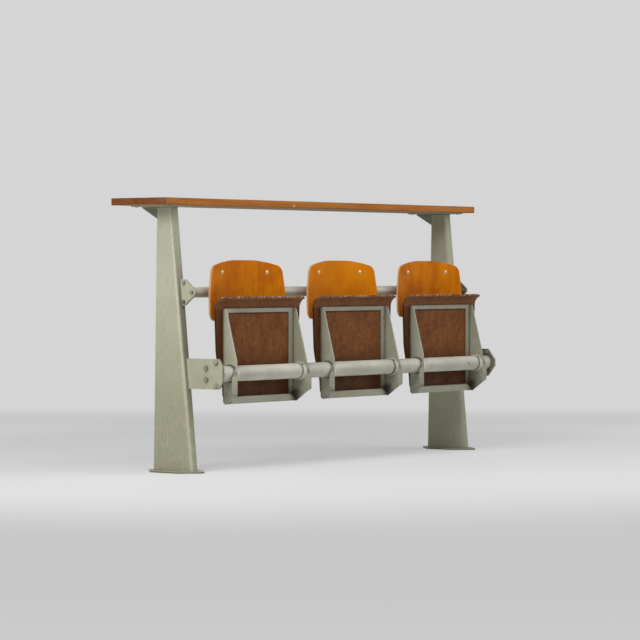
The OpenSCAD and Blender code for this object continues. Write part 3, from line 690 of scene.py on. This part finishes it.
# %% [markdown]
# ## The writing board
# The board is made of long staves with a strip glued along each long edge. Its grain
# runs the whole length, so the noise is stretched hard along x. The ends show end
# grain: tight growth rings, darker because open pores drink more varnish. The top has
# been written on for years, so it is scratched along and across, and worn to grey where
# books and elbows slid off the near corner. The underside was never varnished well.

# %% Board wood
wood = palette(
    ground=(180, 109, 41), band=(198, 131, 58), stave=(163, 93, 36), cloud=(151, 81, 35),
    grain=(100, 54, 27), pore=(67, 36, 19), end=(145, 85, 42), end_ring=(104, 60, 31),
    under=(180, 166, 141), under_grain=(153, 135, 108), grey=(128, 106, 90), rim=(66, 36, 22),
    edge=(75, 48, 33), nick=(85, 52, 33), plug=(226, 186, 136))
board_low, board_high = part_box("desk_board")
front_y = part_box("desk_edging")[0].y
stave_width = 0.080
plug_x = -0.232
plug_z = 0.982
plug_r = 0.0055


def board_wood():
    """The board's staves, end grain, bare underside and worn corner."""
    coat = Finish("board_wood")
    x, y, z = coat.axes()
    bands = flame(coat, (0.7, 16.0, 16.0), 30.0, 2.0)
    coat.colour = coat.mix(bands * 0.6, wood.ground, wood.band)
    stave = ((y - board_low.y) / stave_width).math("FLOOR")
    tone = coat.node("ShaderNodeTexWhiteNoise", {"noise_dimensions": "1D"}, {"W": stave})
    coat.cover(tone * 0.30, wood.stave)
    cloud = coat.noise(coat.stretch((2.5, 9.0, 9.0)), 1.0, 4.0, 0.6)
    coat.cover(cloud.rise(0.45, 0.70) * 0.6, wood.cloud)
    grain = coat.noise(coat.stretch((5.0, 330.0, 330.0)), 1.0, 4.0, 0.6, 0.3)
    coat.cover(grain.rise(0.52, 0.72) * 0.5, wood.grain)
    pores = coat.noise(coat.stretch((26.0, 1300.0, 1300.0)), 1.0, 2.0).rise(0.62, 0.70)
    coat.cover(pores * 0.5, wood.pore)
    # End grain shows on each end face, and stops on the rounded edge beside it.
    end = (x.math("ABSOLUTE") - board_high.x).rise(-0.0009, -0.0006)
    rings = coat.noise(coat.stretch((20.0, 60.0, 420.0), (0.25, 0, 0)), 1.0, 3.0, 0.6, 0.8)
    coat.cover(end, coat.mix(rings.rise(0.35, 0.65), wood.end, wood.end_ring))
    under = z.rise(board_low.z + 0.0012, board_low.z + 0.0006)
    coat.cover(under * 0.85, coat.mix(grain.rise(0.4, 0.7), wood.under, wood.under_grain))
    near_corner = x.near(-board_high.x, 0.17, 0.01) * y.near(front_y, 0.09, 0.0)
    grey = near_corner * coat.noise(coat.place, 60.0, 4.0, 0.7).rise(0.42, 0.60)
    coat.cover(grey * 0.55, wood.grey)
    low_rim = z.rise(board_low.z + 0.0050, board_low.z + 0.0015)
    high_rim = z.rise(board_high.z - 0.0035, board_high.z - 0.0010)
    rim = most(low_rim * 0.55, high_rim * 0.30) * (1 - under) * cloud.rise(0.25, 0.55)
    coat.cover(rim, wood.rim)
    chips = coat.noise(coat.stretch((30.0, 90.0, 90.0)), 1.0, 4.0, 0.7)
    dark_edge = coat.edge() * chips.rise(0.50, 0.58)
    coat.cover(dark_edge * 0.7, wood.edge)
    nick = coat.noise(coat.stretch((240.0, 34.0, 34.0), (0.3, 0.2, 0.6)), 1.0, 1.0)
    nicks = nick.rise(0.72, 0.77)
    coat.cover(nicks * 0.45, wood.nick)
    # One knot was drilled out and plugged with a pale dowel.
    plug = distance(x - plug_x, z - plug_z).rise(plug_r + 0.0007, plug_r - 0.0007)
    on_front = y.rise(front_y + 0.003, front_y + 0.001)
    coat.cover(plug * on_front * 0.8, wood.plug)
    coat.set(Base_Color=coat.colour, Specular_IOR_Level=0.10)
    coat.set(Roughness=0.42 + cloud * 0.18 + grey * 0.2 + under * 0.25)
    coat.bump(grain * 0.6 - pores * 0.8 - nicks - dark_edge, 0.0002, 0.6)
    return coat.material


finishes["board"] = board_wood()
print("board", [round(side, 3) for side in board_high - board_low])

# %% [markdown]
# ## Small metal and the bushes
# The domed bolt heads on the backrests are nickel-plated and have gone warm and dull.
# The stop pins and wood screws are plain zinc. The bushes are dark moulded nylon with a
# fine grain. A metal gets its look from what it mirrors, so its roughness matters more
# than its colour.

# %% Small metal and nylon
def plated(name, bright, dull, rough):
    """Plated steel with duller patches."""
    coat = Finish(name)
    patch = coat.noise(coat.place, 260.0, 3.0, 0.6)
    fine = coat.noise(coat.place, 1400.0, 2.0)
    coat.colour = coat.mix(patch.rise(0.40, 0.66), paint_code(*bright), paint_code(*dull))
    coat.set(Base_Color=coat.colour, Metallic=0.85 - patch * 0.3, Roughness=rough + patch * 0.2)
    coat.bump(fine, 0.00005, 0.4)
    return coat.material


def nylon():
    coat = Finish("bush_nylon")
    fine = coat.noise(coat.place, 900.0, 3.0)
    shine = coat.noise(coat.place, 120.0, 2.0)
    coat.colour = coat.mix(shine, paint_code(58, 57, 53), paint_code(78, 76, 70))
    coat.set(Base_Color=coat.colour, Roughness=0.45 + shine * 0.2)
    coat.bump(fine, 0.00006, 0.5)
    return coat.material


finishes["nickel"] = plated("dull_nickel", (226, 214, 184), (170, 152, 116), 0.26)
finishes["zinc"] = plated("plain_zinc", (150, 147, 136), (96, 92, 82), 0.38)
finishes["nylon"] = nylon()
print(len(finishes), "finishes")

# %% [markdown]
# ## Rounding the edges
# The solids have knife-sharp edges, and no real edge is that sharp: sheared sheet,
# moulded plywood and sanded wood all have a small radius that catches a line of light.
# Each solid is copied, its loose triangles are joined, flat neighbours are merged, and
# every sharp edge gets a narrow bevel. The bevel's faces are marked with an attribute
# called edge, and the finishes above use it to place wear where hands and shoes rub.
# A weighted normal then keeps the flat sides looking flat. The copy replaces the solid
# only in the picture.

# %% Edge rounding
same_point = 2e-6
flat_angle = math.radians(0.4)
sharp_angle = math.radians(32.0)
bevel_steps = 2


def settle(piece, body, nodes=()):
    """Turns a live piece into a plain mesh and hands it to its body."""
    graph = bpy.context.evaluated_depsgraph_get()
    mesh = bpy.data.meshes.new_from_object(piece.evaluated_get(graph))
    piece.modifiers.clear()
    piece.data = mesh
    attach(piece, body)
    if nodes:
        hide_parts(*nodes)
    return piece


def rounded_mesh(node, radius):
    """A copy of a solid's mesh with narrow bevels, marked as edge, on its sharp edges."""
    shape = bmesh.new()
    shape.from_mesh(frame["nodes"][node].data)
    marked = shape.faces.layers.float.new("edge")
    bmesh.ops.remove_doubles(shape, verts=shape.verts, dist=same_point)
    bmesh.ops.dissolve_limit(
        shape, angle_limit=flat_angle, use_dissolve_boundaries=False,
        verts=shape.verts, edges=shape.edges)
    corners = [edge for edge in shape.edges
               if len(edge.link_faces) == 2 and edge.calc_face_angle(0.0) > sharp_angle]
    made = bmesh.ops.bevel(
        shape, geom=corners, offset=radius, offset_type="OFFSET", segments=bevel_steps,
        profile=0.5, affect="EDGES", clamp_overlap=True)
    for face in made["faces"]:
        face[marked] = 1.0
    for face in shape.faces:
        face.smooth = True
    mesh = bpy.data.meshes.new(node + "_dressed")
    shape.to_mesh(mesh)
    shape.free()
    return mesh


def rounded_copy(node, finish, radius):
    """Gives a solid's rounded copy its finish and lets it stand for the solid."""
    piece = bpy.data.objects.new(node + "_dressed", rounded_mesh(node, radius))
    bpy.context.scene.collection.objects.link(piece)
    even = piece.modifiers.new("even_shading", "WEIGHTED_NORMAL")
    even.keep_sharp = True
    piece.data.materials.append(finishes[finish])
    return settle(piece, body_of_node[node], [node])


print("bevels of", bevel_steps, "steps on edges sharper than", round(math.degrees(sharp_angle)))

# %% Round every piece with edges
places = ("left", "middle", "right")
sides = ("left", "right")
edge_plan = [
    (["desk_board", "desk_edging"], "board", 0.0012),
    ([f"{side}_leg" for side in sides], "leg", 0.0008),
    ([f"{side}_{name}" for side in sides for name in ("top_plate", "foot_plate")],
     "leg", 0.0008),
    ([f"{side}_gusset" for side in sides], "gusset", 0.0008),
    ([f"{side}_{name}" for side in sides for name in ("rail_bracket", "seat_bracket")],
     "leg", 0.0010),
    (["rail_end_plates", "tube_flanges"], "flange", 0.0010),
    (["rail_bolts", "flange_bolts"], "bolt", 0.0006),
    ([f"backrest_{place}" for place in places], "amber", 0.0014),
    ([f"back_straps_{place}" for place in places], "frame", 0.0008),
    ([f"seat_shell_{place}" for place in places], "brown", 0.0014),
    ([f"seat_frame_{place}" for place in places], "frame", 0.0006),
    ([f"seat_rings_{place}" for place in places], "ring", 0.0012),
]
dressed = [
    rounded_copy(node, finish, radius)
    for nodes, finish, radius in edge_plan
    for node in nodes
]
print(len(dressed), "pieces rounded,", sum(len(piece.data.polygons) for piece in dressed), "faces")

# %% [markdown]
# ## Solids that only need a surface
# Tubes, pins, screws and bushes are round already. They keep their solids, and only
# their finish changes.

# %% Finishes on the solids
plain_solids = {"back_rail": "tube", "seat_tube": "tube", "stop_pins": "zinc",
                "desk_screws": "zinc", "back_bolts": "nickel"}
for place in places:
    plain_solids[f"seat_bushes_{place}"] = "nylon"
    plain_solids[f"seat_screws_{place}"] = "bolt"
for node, finish in plain_solids.items():
    solid = frame["nodes"][node]
    solid.data.materials.clear()
    solid.data.materials.append(finishes[finish])
print(len(plain_solids), "solids refinished,", len(dressed) + len(plain_solids), "in all")

# %% [markdown]
# ## Weld beads
# The bench is welded together: the legs to their foot and top plates, the brackets to
# the legs, the flanges to the tube. A weld bead is a row of overlapping ripples that
# follows a seam. That is a shape that follows a path, so Geometry Nodes make it: the
# seam's points become a curve, a small round profile runs along it, and its radius
# swells and shrinks with every ripple. One tree makes every seam.

# %% The weld tree
weld_inputs = {
    "Geometry": "Geometry", "Bead radius": "Float", "Ripple pitch": "Float",
    "Ripple depth": "Float", "Seed": "Int", "Finish": "Material",
}


def weld_tree():
    """Turns lines into beads whose radius swells with every ripple."""
    tree = bpy.data.node_groups.new("weld_bead", "GeometryNodeTree")
    for name, kind in weld_inputs.items():
        tree.interface.new_socket(name, in_out="INPUT", socket_type="NodeSocket" + kind)
    tree.interface.new_socket("Geometry", in_out="OUTPUT", socket_type="NodeSocketGeometry")
    graph = Graph(tree)
    given = tree.nodes.new("NodeGroupInput").outputs
    seams, radius, pitch, depth, seed, finish = [Signal(graph, given[name]) for name in weld_inputs]
    curve = graph.node("GeometryNodeMeshToCurve", None, {"Mesh": seams})
    even = graph.node("GeometryNodeResampleCurve", {"mode": "LENGTH"},
                      {"Curve": curve, "Length": pitch * 0.25})
    along = graph.node("GeometryNodeSplineParameter", out="Length")
    wave = (along / pitch * (2.0 * math.pi)).math("SINE")
    uneven = graph.node("FunctionNodeRandomValue", {"data_type": "FLOAT"},
                        {2: -0.6, 3: 0.6, "Seed": seed}, 1)
    size = (wave + uneven).math("MULTIPLY_ADD", depth, 1.0) * radius
    profile = graph.node("GeometryNodeCurvePrimitiveCircle", None, {"Resolution": 8, "Radius": 1.0})
    sweep = graph.node("GeometryNodeCurveToMesh", None,
                       {"Curve": even, "Profile Curve": profile, "Scale": size, "Fill Caps": True})
    smooth = graph.node("GeometryNodeSetShadeSmooth", None, {"Geometry": sweep})
    real = graph.node("GeometryNodeRealizeInstances", None, {"Geometry": smooth})
    coated = graph.node("GeometryNodeSetMaterial", None, {"Geometry": real, "Material": finish})
    graph.feed(tree.nodes.new("NodeGroupOutput").inputs["Geometry"], coated)
    return tree


weld = weld_tree()
print(len(weld.nodes), "nodes in the weld tree")

# %% [markdown]
# ## Where the seams run
# Each seam is a short list of points read from the solids: round the leg where it
# meets its plates, up both sides of a bracket, round the tube where it meets a flange.
# They could be drawn by hand over the picture, but points from the solids follow every
# change of size.

# %% Seam paths
def circle_seam(x, y, z, radius, start=0.0, end=360.0, count=72):
    """Points round an axis that runs along the bench. Angle 0 points to the rear."""
    angles = [math.radians(start + (end - start) * index / count) for index in range(count + 1)]
    return [(x, y + radius * math.cos(angle), z + radius * math.sin(angle)) for angle in angles]


def loop_seam(low_x, high_x, low_y, high_y, z, radius, count=6):
    """A rounded rectangle that lies level."""
    points = []
    corners = [(high_x, high_y, 0), (low_x, high_y, 90), (low_x, low_y, 180), (high_x, low_y, 270)]
    for x, y, start in corners:
        centre_x = x - radius if start in (0, 270) else x + radius
        centre_y = y - radius if start in (0, 90) else y + radius
        for index in range(count + 1):
            angle = math.radians(start + 90.0 * index / count)
            points.append((centre_x + radius * math.cos(angle),
                           centre_y + radius * math.sin(angle), z))
    return points + points[:1]


sunk = 0.001
short_of_tip = 0.004
foot_corner_r = 0.016
top_corner_r = 0.006
bracket_points = 9
stand_seams = []
for side in sides:
    rows = leg_outline(side)
    leg_low, leg_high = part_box(f"{side}_leg")
    (foot_z, foot_front, foot_rear), (top_z, top_front, top_rear) = rows
    stand_seams.append(
        loop_seam(leg_low.x, leg_high.x, foot_front, foot_rear, foot_z, foot_corner_r))
    stand_seams.append(
        loop_seam(leg_low.x, leg_high.x, top_front, top_rear, top_z - sunk, top_corner_r))
    for name in ("rail_bracket", "seat_bracket"):
        low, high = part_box(f"{side}_{name}")
        step = (high.z - low.z) / (bracket_points - 1)
        heights = [low.z + step * index for index in range(bracket_points)]
        for x in (low.x, high.x):
            stand_seams.append([(x, at_height(rows, z, 0), z) for z in heights])
    low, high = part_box(f"{side}_gusset")
    rear = at_height(rows, high.z, 1)
    for x in (low.x, high.x):
        stand_seams.append([(x, at_height(rows, low.z, 1), low.z), (x, rear, high.z)])
        stand_seams.append([(x, rear, high.z - sunk), (x, high.y - short_of_tip, high.z - sunk)])
for node in ("seat_tube", "back_rail"):
    low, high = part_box(node)
    middle_y = (low.y + high.y) / 2
    middle_z = (low.z + high.z) / 2
    for x in (low.x + sunk, high.x - sunk):
        stand_seams.append(circle_seam(x, middle_y, middle_z, (high.z - low.z) / 2))
print(len(stand_seams), "seams on the stand")

# %% [markdown]
# ## Laying the beads
# One mesh of plain lines holds all the seams of a body, and the weld tree turns each line
# into a bead. The rings on the seats' side plates have finer beads, open at the rear where
# the frame's strip is in the welder's way. Each set rides on its own body, so the ring
# welds turn with their seat.

# %% Lay the beads
ripple_depth = 0.16
open_half = 38.0
sunk_in_plate = 0.0006


def lay_beads(name, seams, body, finish, radius, pitch, seed):
    """Makes one piece of weld bead from all the seams of a body."""
    points, links = [], []
    for seam in seams:
        first = len(points)
        points.extend(seam)
        links.extend((first + index, first + index + 1) for index in range(len(seam) - 1))
    mesh = bpy.data.meshes.new(name)
    mesh.from_pydata(points, links, [])
    piece = bpy.data.objects.new(name, mesh)
    bpy.context.scene.collection.objects.link(piece)
    modifier = piece.modifiers.new("weld", "NODES")
    modifier.node_group = weld
    values = {"Bead radius": radius, "Ripple pitch": pitch, "Ripple depth": ripple_depth,
              "Seed": seed, "Finish": finishes[finish]}
    for socket in weld.interface.items_tree:
        if socket.in_out == "INPUT" and socket.name in values:
            modifier[socket.identifier] = values[socket.name]
    return settle(piece, body)


welds = [
    lay_beads("stand_welds", stand_seams, "stand", "frame", radius=0.0020, pitch=0.0036, seed=7)
]
for number, place in enumerate(places):
    low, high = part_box(f"seat_rings_{place}")
    middle_x = (low.x + high.x) / 2
    middle_z = (low.z + high.z) / 2
    rings = [
        circle_seam(middle_x + side * (plate_in - sunk_in_plate), tube_y, middle_z,
                    (high.z - low.z) / 2, open_half, 360.0 - open_half, 64)
        for side in (-1, 1)
    ]
    welds.append(lay_beads(
        f"ring_welds_{place}", rings, f"seat_{place}", "ring",
        radius=0.0012, pitch=0.0026, seed=number))
print(sum(len(piece.data.polygons) for piece in welds), "faces of weld bead")

# %% [markdown]
# ## The studio
# The bench stands on a plain pale floor in front of a plain pale wall. The floor really
# receives light and shadow near the bench. Further out it turns, for the camera, for
# mirrors and for glass only, into the same plain grey as the world behind it, so no view
# shows where the floor ends. For those rays it also carries painted light: a brighter
# pool near the bench, a darker band in front and a faint darker band behind the bench,
# the painted shade of a cove, where a studio's floor curves up into its wall.

# %% Floor
studio = palette(
    wall=(213, 213, 213), cove=(200, 200, 200), front=(200, 200, 200), near=(230, 230, 230),
    floor=(240, 240, 241), floor_cloud=(234, 234, 235))
floor_radius = 60.0
# The painted shade of the cove runs straight behind the bench, and this direction points squarely
# at it.
to_cove = (0.792, 0.610)


def floor_finish():
    """A floor that takes shadows near the bench and fades into the wall further out, with painted
    light for the camera.
    """
    coat = Finish("studio_floor")
    x, y, _ = coat.axes()
    away = distance(x, y)
    depth = x * to_cove[0] + y * to_cove[1]
    cloud = coat.noise(coat.place, 1.2, 3.0)
    coat.set(Base_Color=coat.mix(cloud, studio.floor, studio.floor_cloud))
    coat.set(Roughness=0.55 + cloud * 0.1, Specular_IOR_Level=0.25)
    coat.colour = studio.wall
    # Painted light for camera rays: the shade of a cove behind the bench, a darker band in front
    # and a brighter pool near the bench.
    cove = depth.rise(1.9, 3.0) * depth.rise(4.1, 3.3) * away.rise(9.0, 6.0)
    coat.cover(cove, studio.cove)
    coat.cover(depth.rise(-1.0, -3.0) * away.rise(7.0, 4.5), studio.front)
    near = depth.rise(-2.4, -0.9) * depth.rise(3.0, 1.2) * away.rise(3.6, 2.2)
    coat.cover(near, studio.near)
    plain = coat.node("ShaderNodeEmission", None, {"Color": coat.colour, "Strength": 1.0})
    share = (away.rise(1.7, 3.4) * 0.58 + 0.42) * coat.seen()
    lit = Signal(coat, coat.shader.outputs[0])
    surface = coat.node("ShaderNodeMixShader", None, {0: share, 1: lit, 2: plain})
    coat.feed(coat.tree.nodes["Material Output"].inputs["Surface"], surface)
    return coat.material


disc = bmesh.new()
bmesh.ops.create_circle(disc, cap_ends=True, radius=floor_radius, segments=96)
floor_mesh = bpy.data.meshes.new("studio_floor")
disc.to_mesh(floor_mesh)
disc.free()
floor = bpy.data.objects.new("studio_floor", floor_mesh)
floor.data.materials.append(floor_finish())
bpy.context.scene.collection.objects.link(floor)
floor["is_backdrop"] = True
print("floor of", floor_radius, "m radius")

# %% [markdown]
# ## The world
# The world could light the bench from all round, but that would wash out the shadows. So
# it shows the wall's grey to the camera, to mirrors and to glass, and gives only a breath
# of cool light to everything else.

# %% World
world = bpy.data.worlds.new("studio_world")
bpy.context.scene.world = world
world.use_nodes = True
cool_light = (0.94, 0.96, 1.0, 1.0)
sky = Graph(world.node_tree)
wall = sky.tree.nodes["Background"]
wall.inputs["Color"].default_value = studio.wall
dim = sky.node("ShaderNodeBackground", None, {"Color": cool_light, "Strength": 0.03})
shown = Signal(sky, wall.outputs[0])
surface = sky.node("ShaderNodeMixShader", None, {0: sky.seen(), 1: dim, 2: shown})
sky.feed(sky.tree.nodes["World Output"].inputs["Surface"], surface)
print(len(sky.tree.nodes), "nodes in the world")

# %% [markdown]
# ## Lamps
# The picture was lit by large soft sources. A window on the left does most of the work,
# with a weaker one above it and one behind. A wide box overhead brightens the tops of the
# tubes, and one on the right fills the fronts. Large area lamps give the shadows the same
# soft edges as in the picture, and each seat shades the next.

# %% Lamps
def soft_box(name, size, watts, place, aim):
    """A large area lamp that points at a spot."""
    data = bpy.data.lights.new(name, "AREA")
    data.shape = "RECTANGLE"
    data.size, data.size_y = size
    data.energy = watts
    lamp = bpy.data.objects.new(name, data)
    lamp.location = place
    lamp.rotation_euler = (Vector(aim) - Vector(place)).to_track_quat("-Z", "Y").to_euler()
    bpy.context.scene.collection.objects.link(lamp)
    return lamp


window = (2.4, 1.8)
bench_middle = (0.0, 0.0, 0.5)
lamps = [
    soft_box("left_window", window, 94.0, (-4.2, -1.1, 2.75), bench_middle),
    soft_box("left_high", window, 30.0, (-2.4, -0.8, 3.9), bench_middle),
    soft_box("left_behind", window, 21.0, (-3.8, 2.2, 2.6), bench_middle),
    soft_box("overhead", (4.0, 2.4), 60.0, (0.2, -2.2, 3.9), (0.0, -0.2, 0.3)),
    soft_box("right_front", window, 56.0, (3.2, -3.6, 2.4), bench_middle),
]
bpy.context.scene.view_settings.view_transform = "Standard"
print(len(lamps), "lamps")

# %% [markdown] ## Check the size and finish Finishes and beads must not make the
# bench bigger.

# %% Finish
dressed_box = [list(corner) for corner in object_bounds()]
growth = [round((dressed_box[1][axis] - solid_box[1][axis]) * 1000, 2) for axis in range(3)]
print("growth past the solids, mm:", growth)
